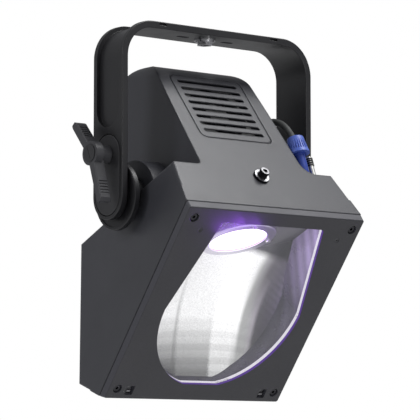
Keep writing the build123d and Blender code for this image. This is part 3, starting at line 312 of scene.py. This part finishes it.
def panelled(name):
    """Stippled reflector strips down the scoop, with the emitter's reflected light painted on as colour
    and glow: bright under the emitter, dim and violet outside.
    """
    m = Mat(name, rough=0.45, metal=1.0)
    x = m.along((1, 0, 0))
    v = m.along(down, front_edge)
    grain = m.noise(620.0, 2.0)
    soft = m.noise(70.0, 3.0)
    drift = m.sum("MULTIPLY", m.sum("SUBTRACT", v, 0.170), 0.09)
    across = m.sum("ADD", m.sum("ADD", x, drift), m.spread(grain, -0.0012, 0.0012))
    place = m.spread(across, 0.0, 1.0, -0.100, 0.150)
    # painted light: rows of brightness across the strips, top, middle and foot of the scoop
    high = [(0.0, 0.5), (0.62, 1.0), (0.68, 0.85), (0.71, 0.32), (0.75, 0.10), (0.82, 0.08), (1.0, 0.24)]
    half = [
        (0.0, 0.75), (0.27, 0.8), (0.285, 0.5), (0.31, 0.82), (0.53, 0.86), (0.55, 1.0),
        (0.695, 1.0), (0.715, 0.36), (0.77, 0.34), (0.79, 0.06), (0.88, 0.04), (1.0, 0.08),
    ]
    low = [
        (0.0, 0.07), (0.30, 0.08), (0.32, 0.17), (0.53, 0.18), (0.55, 0.56), (0.67, 0.56),
        (0.69, 0.30), (0.765, 0.30), (0.785, 0.05), (0.83, 0.02), (1.0, 0.03),
    ]
    tops, middles, feet = (m.ramp(place, [(a, (b, b, b)) for a, b in row]) for row in (high, half, low))
    upper = m.mix(m.spread(v, 0.0, 1.0, 0.140, 0.205), tops, middles)
    lit = m.mix(m.spread(v, 0.0, 1.0, 0.212, 0.275), upper, feet)
    # painted shade: darker cross bands where the strips' facets turn
    facets = m.sum("SINE", m.sum("ADD", m.sum("MULTIPLY", v, 410.0), m.sum("MULTIPLY", x, 12.0)))
    weight = m.spread(v, 0.0, 0.14, 0.200, 0.250)
    banded = m.sum("SUBTRACT", 1.0, m.sum("MULTIPLY", weight, m.spread(facets, 0.0, 1.0, -0.3, 0.3)))
    painted_reflection = m.sum("MULTIPLY", m.sum("MULTIPLY", lit, banded), m.spread(grain, 0.82, 1.12))
    # painted reflection: diagonal streaks on the outer strip
    slant = m.sum("SINE", m.sum("SUBTRACT", m.sum("MULTIPLY", x, 330.0), m.sum("MULTIPLY", v, 620.0)))
    outer = m.spread(x, 0.0, 1.0, 0.088, 0.118)
    streaks = m.sum("ADD", 1.0, m.sum("MULTIPLY", m.sum("MULTIPLY", slant, 0.22), outer))
    painted_reflection = m.sum("MULTIPLY", painted_reflection, streaks)
    # painted shade: the ceiling round the emitter is dim
    ceiling = m.spread(v, 0.0, 1.0, 0.104, 0.116)
    painted_reflection = m.sum("MULTIPLY", painted_reflection, m.spread(ceiling, 0.07, 1.0, 0.0, 1.0))
    # painted light: the painted reflection, tinted violet towards the outer strip, is both colour and
    # glow
    violet = [(0.0, (1.0, 1.0, 1.0)), (0.3, (0.93, 0.85, 1.0)), (1.0, (0.86, 0.68, 1.3))]
    painted_glow = m.times(painted_reflection, m.ramp(m.spread(x, 0.0, 1.0, 0.080, 0.125), violet))
    m.colour(m.times(painted_glow, (0.13, 0.13, 0.14)))
    m.roughness(m.spread(soft, 0.40, 0.52))
    m.bump(grain, 0.00010)
    m.glow(painted_glow, 1.15)
    return m.mat


def side_wall(name):
    """Anodised wall with the emitter's light painted on as colour and glow: lavender near the emitter,
    darker deeper in, with slanting streaks and a painted highlight along the lip.
    """
    m = Mat(name, rough=0.30, metal=1.0)
    v = m.along(down, front_edge)
    d = m.along(inward, front_edge)
    # painted reflection: slanting streaks across the wall
    slant = m.sum("ADD", m.sum("MULTIPLY", v, 62.0), m.sum("MULTIPLY", d, 95.0))
    waver = m.sum("MULTIPLY", m.noise(26.0, 3.0), 1.4)
    streak = m.sum("SINE", m.sum("ADD", m.sum("MULTIPLY", slant, 2.6), waver))
    tone = m.spread(streak, 0.72, 1.15, -1.0, 1.0)
    # painted light: lavender glow near the emitter, dark further away
    near = m.spread(v, 1.0, 0.0, 0.03, 0.22)
    lavender = [
        (0.0, (0.028, 0.026, 0.036)), (0.3, (0.05, 0.042, 0.075)),
        (0.6, (0.20, 0.155, 0.30)), (1.0, (0.34, 0.26, 0.50)),
    ]
    # painted shade: darker deeper into the wall
    depth_shade = m.spread(d, 1.0, 0.32, 0.004, 0.062)
    painted_glow = m.times(m.ramp(near, lavender), m.sum("MULTIPLY", tone, depth_shade))
    # painted highlight: a near-white glow along the wall's front lip
    lip_highlight = m.sum("LESS_THAN", d, -0.0024)
    m.colour(m.mix(m.spread(m.noise(300.0, 2.0), 0.5, 0.75), painted_glow, (0.05, 0.045, 0.06)))
    m.glow(m.mix(lip_highlight, painted_glow, (0.95, 0.92, 1.0)), 0.8)
    m.roughness(m.spread(m.noise(45.0, 3.0), 0.24, 0.38))
    m.bump(m.noise(1100.0, 2.0), 0.00004)
    return m.mat


def screw_painted_highlight(name):
    """Black oxide screw; its flange's outward face and the ring at the head's top are painted bright as
    a highlight.
    """
    m = Mat(name, rough=0.3, metal=1.0)
    out = m.along(slope_out, front_edge)
    side = m.along(up_slope, front_edge + up_slope * 0.0565)
    x = m.sum("SUBTRACT", m.along((1, 0, 0)), 0.0032)
    radius = m.sum("SQRT", m.sum("ADD", m.sum("MULTIPLY", x, x), m.sum("MULTIPLY", side, side)))
    # painted highlight: outward faces of the flange and of the head's top ring are painted bright
    outward = m.sum("GREATER_THAN", m.facing(slope_out), 0.9)
    flange = m.sum("MULTIPLY", outward, m.sum("GREATER_THAN", radius, 0.0075))
    ring = m.sum("MULTIPLY", outward, m.sum("GREATER_THAN", out, 0.011))
    painted_highlight_mask = m.sum("MAXIMUM", flange, m.sum("MULTIPLY", ring, 0.6))
    scratch = m.noise(700.0, 3.0)
    oxide = m.ramp(scratch, [(0.3, (0.02, 0.02, 0.022)), (0.7, (0.035, 0.035, 0.04))])
    m.colour(m.mix(painted_highlight_mask, oxide, (0.50, 0.50, 0.52)))
    m.roughness(m.spread(scratch, 0.28, 0.42))
    m.soft_edges(0.0005)
    return m.mat


def weave(name, colour, pitch):
    """Woven tape: rows and columns of one pitch."""
    m = Mat(name, rough=0.85)
    rows, columns = (
        m.add("ShaderNodeTexWave", wave_type="BANDS", bands_direction=axis) for axis in ("X", "Z")
    )
    for wave in (rows, columns):
        wave.inputs["Scale"].default_value = 1.0 / pitch / 20
        m.link(m.coord, wave.inputs["Vector"])
    m.colour(m.mix(rows.outputs["Fac"], shade(colour, 0.7), shade(colour, 1.3)))
    m.bump(columns.outputs["Fac"], 0.0003)
    return m.mat


def emitter(name):
    """Frosted window over the lit array: white, with a violet rim."""
    m = Mat(name, rough=0.3)
    offset = m.add("ShaderNodeVectorMath", operation="DISTANCE")
    offset.inputs[1].default_value = led_centre + led_out * 0.003
    m.link(m.coord, offset.inputs[0])
    rim = m.spread(offset.outputs["Value"], 0.0, 1.0, 0.029, 0.0423)
    tint = m.ramp(rim, [(0.0, (1.0, 0.97, 1.0)), (0.62, (0.80, 0.62, 1.0)), (0.93, (0.13, 0.03, 0.42))])
    m.colour(m.ramp(m.noise(300.0, 2.0), [(0.3, (0.86, 0.84, 0.88)), (0.7, (0.95, 0.94, 0.97))]))
    m.glow(tint, 3.4)
    return m.mat


def pane(name, colour, alpha, rough):
    """Clear glass seen through, faintly uneven in gloss."""
    m = Mat(name, rough=rough, Alpha=alpha)
    m.colour(m.ramp(m.noise(14.0, 4.0), [(0.3, shade(colour, 0.96)), (0.7, colour)]))
    m.roughness(m.spread(m.noise(35.0, 5.0), rough, rough + 0.03))
    m.bump(m.noise(9.0, 2.0), 0.00002)
    return m.mat


black = (0.014, 0.014, 0.016)
charcoal = (0.046, 0.047, 0.056)
bezel_grey = (0.029, 0.029, 0.035)
housing_coat = coat("housing_coat", charcoal, rough=0.36, edge=0.003, spec=0.6)
yoke_coat = coat("yoke_coat", shade(black, 1.15), rough=0.34, spec=0.6)
bezel_coat = framed("bezel_coat", bezel_grey)
disc_coat = coat("disc_coat", shade(black, 1.2), rough=0.4)
# the lever and cap plastics: their own dark grey, lightened overall as painted light for their front
# faces
lever_plastic = plastic("lever_plastic", (0.060, 0.060, 0.066), rough=0.42)
cap_plastic = plastic("cap_plastic", (0.032, 0.032, 0.035), rough=0.42)
nylon = plastic("nylon", (0.02, 0.02, 0.02), rough=0.5)
seal_rubber = rubber("seal_rubber", (0.012, 0.012, 0.013))
lead_rubber = rubber("lead_rubber", (0.050, 0.053, 0.052))
grip_rubber = rubber("grip_rubber", (0.02, 0.02, 0.02))
plug_blue = plastic("plug_blue", (0.030, 0.065, 0.36), rough=0.3, depth=0.00002)
collar_blue = plastic("collar_blue", (0.10, 0.17, 0.62), rough=0.36)
inlet_plastic = plastic("inlet_plastic", (0.02, 0.02, 0.024))
zinc = steel("zinc", (0.60, 0.60, 0.62))
dark_steel = steel("dark_steel", (0.10, 0.10, 0.105), rough=0.35)
flange_screw = screw_painted_highlight("flange_screw")
screw_black = steel("screw_black", (0.05, 0.05, 0.055), rough=0.3)
nickel = steel("nickel", (0.92, 0.90, 0.86), rough=0.32, stretch=(1, 1, 6))
spring_steel = steel("spring_steel", (0.25, 0.25, 0.26), rough=0.4)
brass = steel("brass", (0.75, 0.58, 0.28), rough=0.3)
fin_metal = steel("fin_metal", (0.70, 0.70, 0.72), rough=0.35, stretch=(4, 1, 1))
ring_metal = mirror("ring_metal", (0.66, 0.64, 0.70), 0.32, 1300.0, 0.00003)
scoop_painted_light = panelled("scoop_painted_light")
wall_painted_light = side_wall("wall_painted_light")
board_white = plastic("board_white", (0.80, 0.80, 0.80), rough=0.4)
dome_yellow = plastic("dome_yellow", (0.80, 0.62, 0.18), rough=0.2)
board_green = plastic("board_green", (0.02, 0.13, 0.05), rough=0.35)
case_metal = steel("case_metal", (0.62, 0.62, 0.63), rough=0.4, stretch=(1, 1, 5))
# the fan's own black plastic, darkened further as painted shade in the vent slots
fan_plastic = plastic("fan_plastic", (0.005, 0.005, 0.005), rough=0.6)
tie_weave = weave("tie_weave", (0.02, 0.02, 0.022), 0.0011)
lit_window = emitter("lit_window")
clear_pane = pane("clear_pane", (0.95, 0.97, 0.98), 0.07, 0.03)

finishes = {
    "yoke": yoke_coat, "hanging_block": yoke_coat, "hanging_washer": zinc, "hanging_nut": zinc,
    "arm_caps": cap_plastic, "pivot_bushes": nylon, "friction_discs": disc_coat, "pivot_bolts": zinc,
    "clamp_stud": zinc, "tilt_handle": lever_plastic, "handle_cap": cap_plastic,
    "main_housing": housing_coat, "bezel_frame": bezel_coat, "front_gasket": seal_rubber,
    "front_glass": clear_pane, "glass_seal": seal_rubber, "reflector_scoop": scoop_painted_light,
    "reflector_wall": wall_painted_light, "led_ring": ring_metal, "led_window": lit_window,
    "led_array": dome_yellow, "led_board": board_white, "heat_sink": fin_metal, "ring_screws": nickel,
    "fan_frame": fan_plastic, "fan_rotor": fan_plastic, "vent_grille": housing_coat,
    "service_screw": flange_screw, "power_supply": case_metal, "supply_bracket": zinc,
    "board_posts": brass, "driver_board": board_green, "rear_cover": housing_coat,
    "cover_screws": screw_black, "safety_eye": zinc, "coil_tie": tie_weave, "supply_plug": inlet_plastic,
    "power_inlet": inlet_plastic, "power_plug": plug_blue, "plug_collar": collar_blue,
    "plug_latch": nickel, "data_socket": nickel, "data_terminator": nickel,
    "terminator_grip": grip_rubber,
    "bezel_screws": screw_black, "trim_screws": dark_steel, "bezel_clips": spring_steel,
}
for name, material in finishes.items():
    nodes[name].data.materials.clear()
    nodes[name].data.materials.append(material)

# ---------------------------------------------------------------- mains lead

lead_r = 5.0 * MM
strand_r = 7.35 * MM       # the turns lie round the bundle's middle
corner_cut = 28.0 * MM
coil_r = 52.0 * MM
coil_centre = Vector((10.0 * MM, front_edge.y + 268.0 * MM, front_edge.z + 73.0 * MM))
turns = 3.5
steps = 14                 # points for each turn
lead_start = plug_foot + rear_normal * 29.0 * MM
lead_points = [
    lead_start,
    plug_foot + rear_normal * 97.0 * MM,
    Vector((104.0 * MM, front_edge.y + 183.0 * MM, front_edge.z + 135.0 * MM)),
]
# the corner over the coil is cut by two points, to keep the bend wide
corner = Vector((99.0 * MM, coil_centre.y, front_edge.z + 131.0 * MM))
coil_top = coil_centre + Vector((0, 0, coil_r + strand_r))
lead_points.append(corner + (lead_points[-1] - corner).normalized() * corner_cut)
lead_points.append(corner + (coil_top - corner).normalized() * corner_cut)
cut_in = cos(pi / steps)   # the spline runs inside its points
for i in range(int(turns * steps) + 1):
    angle = pi / 2 + 2 * pi * i / steps
    lay_angle = pi / 2 * i / steps
    reach = coil_r / cut_in + strand_r * cos(lay_angle)
    lead_points.append(
        coil_centre + Vector((reach * cos(angle), strand_r * sin(lay_angle), reach * sin(angle)))
    )
lead_points.append(coil_centre + Vector((40.0 * MM, -1.0 * MM, -coil_r - 0.001)))
lead_points.append(coil_centre + Vector((62.0 * MM, 0, -coil_r)))


def spline_curve(name, points, radius):
    """A round tube along one smooth curve."""
    data = bpy.data.curves.new(name, "CURVE")
    data.dimensions = "3D"
    data.bevel_depth = radius
    data.bevel_resolution = 6
    data.resolution_u = 10
    spline = data.splines.new("NURBS")
    spline.points.add(len(points) - 1)
    for point, place in zip(spline.points, points):
        point.co = (*place, 1.0)
    spline.order_u = 3
    spline.use_endpoint_u = True
    piece = bpy.data.objects.new(name, data)
    bpy.context.scene.collection.objects.link(piece)
    return piece


lead = spline_curve("mains_lead", lead_points, lead_r)
lead.data.materials.append(lead_rubber)
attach(lead, "housing")
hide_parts("mains_cable", "cable_coil")

# ---------------------------------------------------------------- stage

floor_mat = Mat("floor_paint", rough=0.7)
pale = [(0.3, (0.80, 0.80, 0.80)), (0.7, (0.84, 0.84, 0.84))]
floor_mat.colour(floor_mat.ramp(floor_mat.noise(3.0), pale))
bpy.ops.mesh.primitive_plane_add(size=30, location=(0, 0, cad_box[0][2] - 0.45))
floor = bpy.context.object
floor.name = "floor"
floor.data.materials.append(floor_mat.mat)

world = bpy.data.worlds.new("studio")
bpy.context.scene.world = world
world.use_nodes = True
wn = world.node_tree
wn.nodes.clear()
world_out = wn.nodes.new("ShaderNodeOutputWorld")
seen = wn.nodes.new("ShaderNodeBackground")
fill = wn.nodes.new("ShaderNodeBackground")
seen.inputs["Color"].default_value = (1, 1, 1, 1)
seen.inputs["Strength"].default_value = 1.0
fill.inputs["Color"].default_value = (0.96, 0.97, 1.0, 1)
fill.inputs["Strength"].default_value = 0.30
ray = wn.nodes.new("ShaderNodeLightPath")
either = wn.nodes.new("ShaderNodeMixShader")
wn.links.new(ray.outputs["Is Camera Ray"], either.inputs[0])
wn.links.new(fill.outputs[0], either.inputs[1])
wn.links.new(seen.outputs[0], either.inputs[2])
wn.links.new(either.outputs[0], world_out.inputs[0])


def soft_light(name, place, aim, size, power):
    """A soft rectangular lamp, out of the camera's sight."""
    data = bpy.data.lights.new(name, "AREA")
    data.shape = "RECTANGLE"
    data.size, data.size_y = size
    data.energy = power
    light = bpy.data.objects.new(name, data)
    light.location = place
    light.rotation_euler = (Vector(aim) - Vector(place)).to_track_quat("-Z", "Y").to_euler()
    light.visible_camera = False
    bpy.context.scene.collection.objects.link(light)
    return light


soft_light("key", (0.9, -0.9, 2.1), (0, -0.05, -0.2), (1.6, 1.2), 55.0)
soft_light("side", (-2.4, 0.5, 0.9), (0, 0, -0.2), (0.8, 1.6), 14.0)
soft_light("front", (0.3, -2.6, -0.1), (0, 0, -0.3), (0.9, 0.9), 7.0)

# violet spill of the emitter, along the aperture's top edge
spill_lift = 21.0 * MM
for x, v, power in ((-0.025, 0.0285, 0.03), (-0.052, 0.0285, 0.045), (-0.074, 0.037, 0.035)):
    spill_data = bpy.data.lights.new("spill", "POINT")
    spill_data.energy = power
    spill_data.color = (0.35, 0.08, 1.0)
    spill_data.shadow_soft_size = 0.012
    spill = bpy.data.objects.new("spill", spill_data)
    spill.location = front_edge + Vector((x, 0, 0)) + down * v - inward * spill_lift
    spill.visible_camera = False
    bpy.context.scene.collection.objects.link(spill)

# ---------------------------------------------------------------- camera

cam_data = bpy.data.cameras.new("camera")
cam_data.lens = 214.3
cam_data.sensor_width = 36.0
camera = bpy.data.objects.new("camera", cam_data)
camera.location = (-2.1131, -2.6800, -0.5889)
back = Vector((-0.6175, -0.7797, -0.1033))
camera.rotation_euler = back.to_track_quat("Z", "Y").to_euler()
bpy.context.scene.collection.objects.link(camera)
bpy.context.scene.camera = camera
bpy.context.scene.view_settings.view_transform = "Standard"
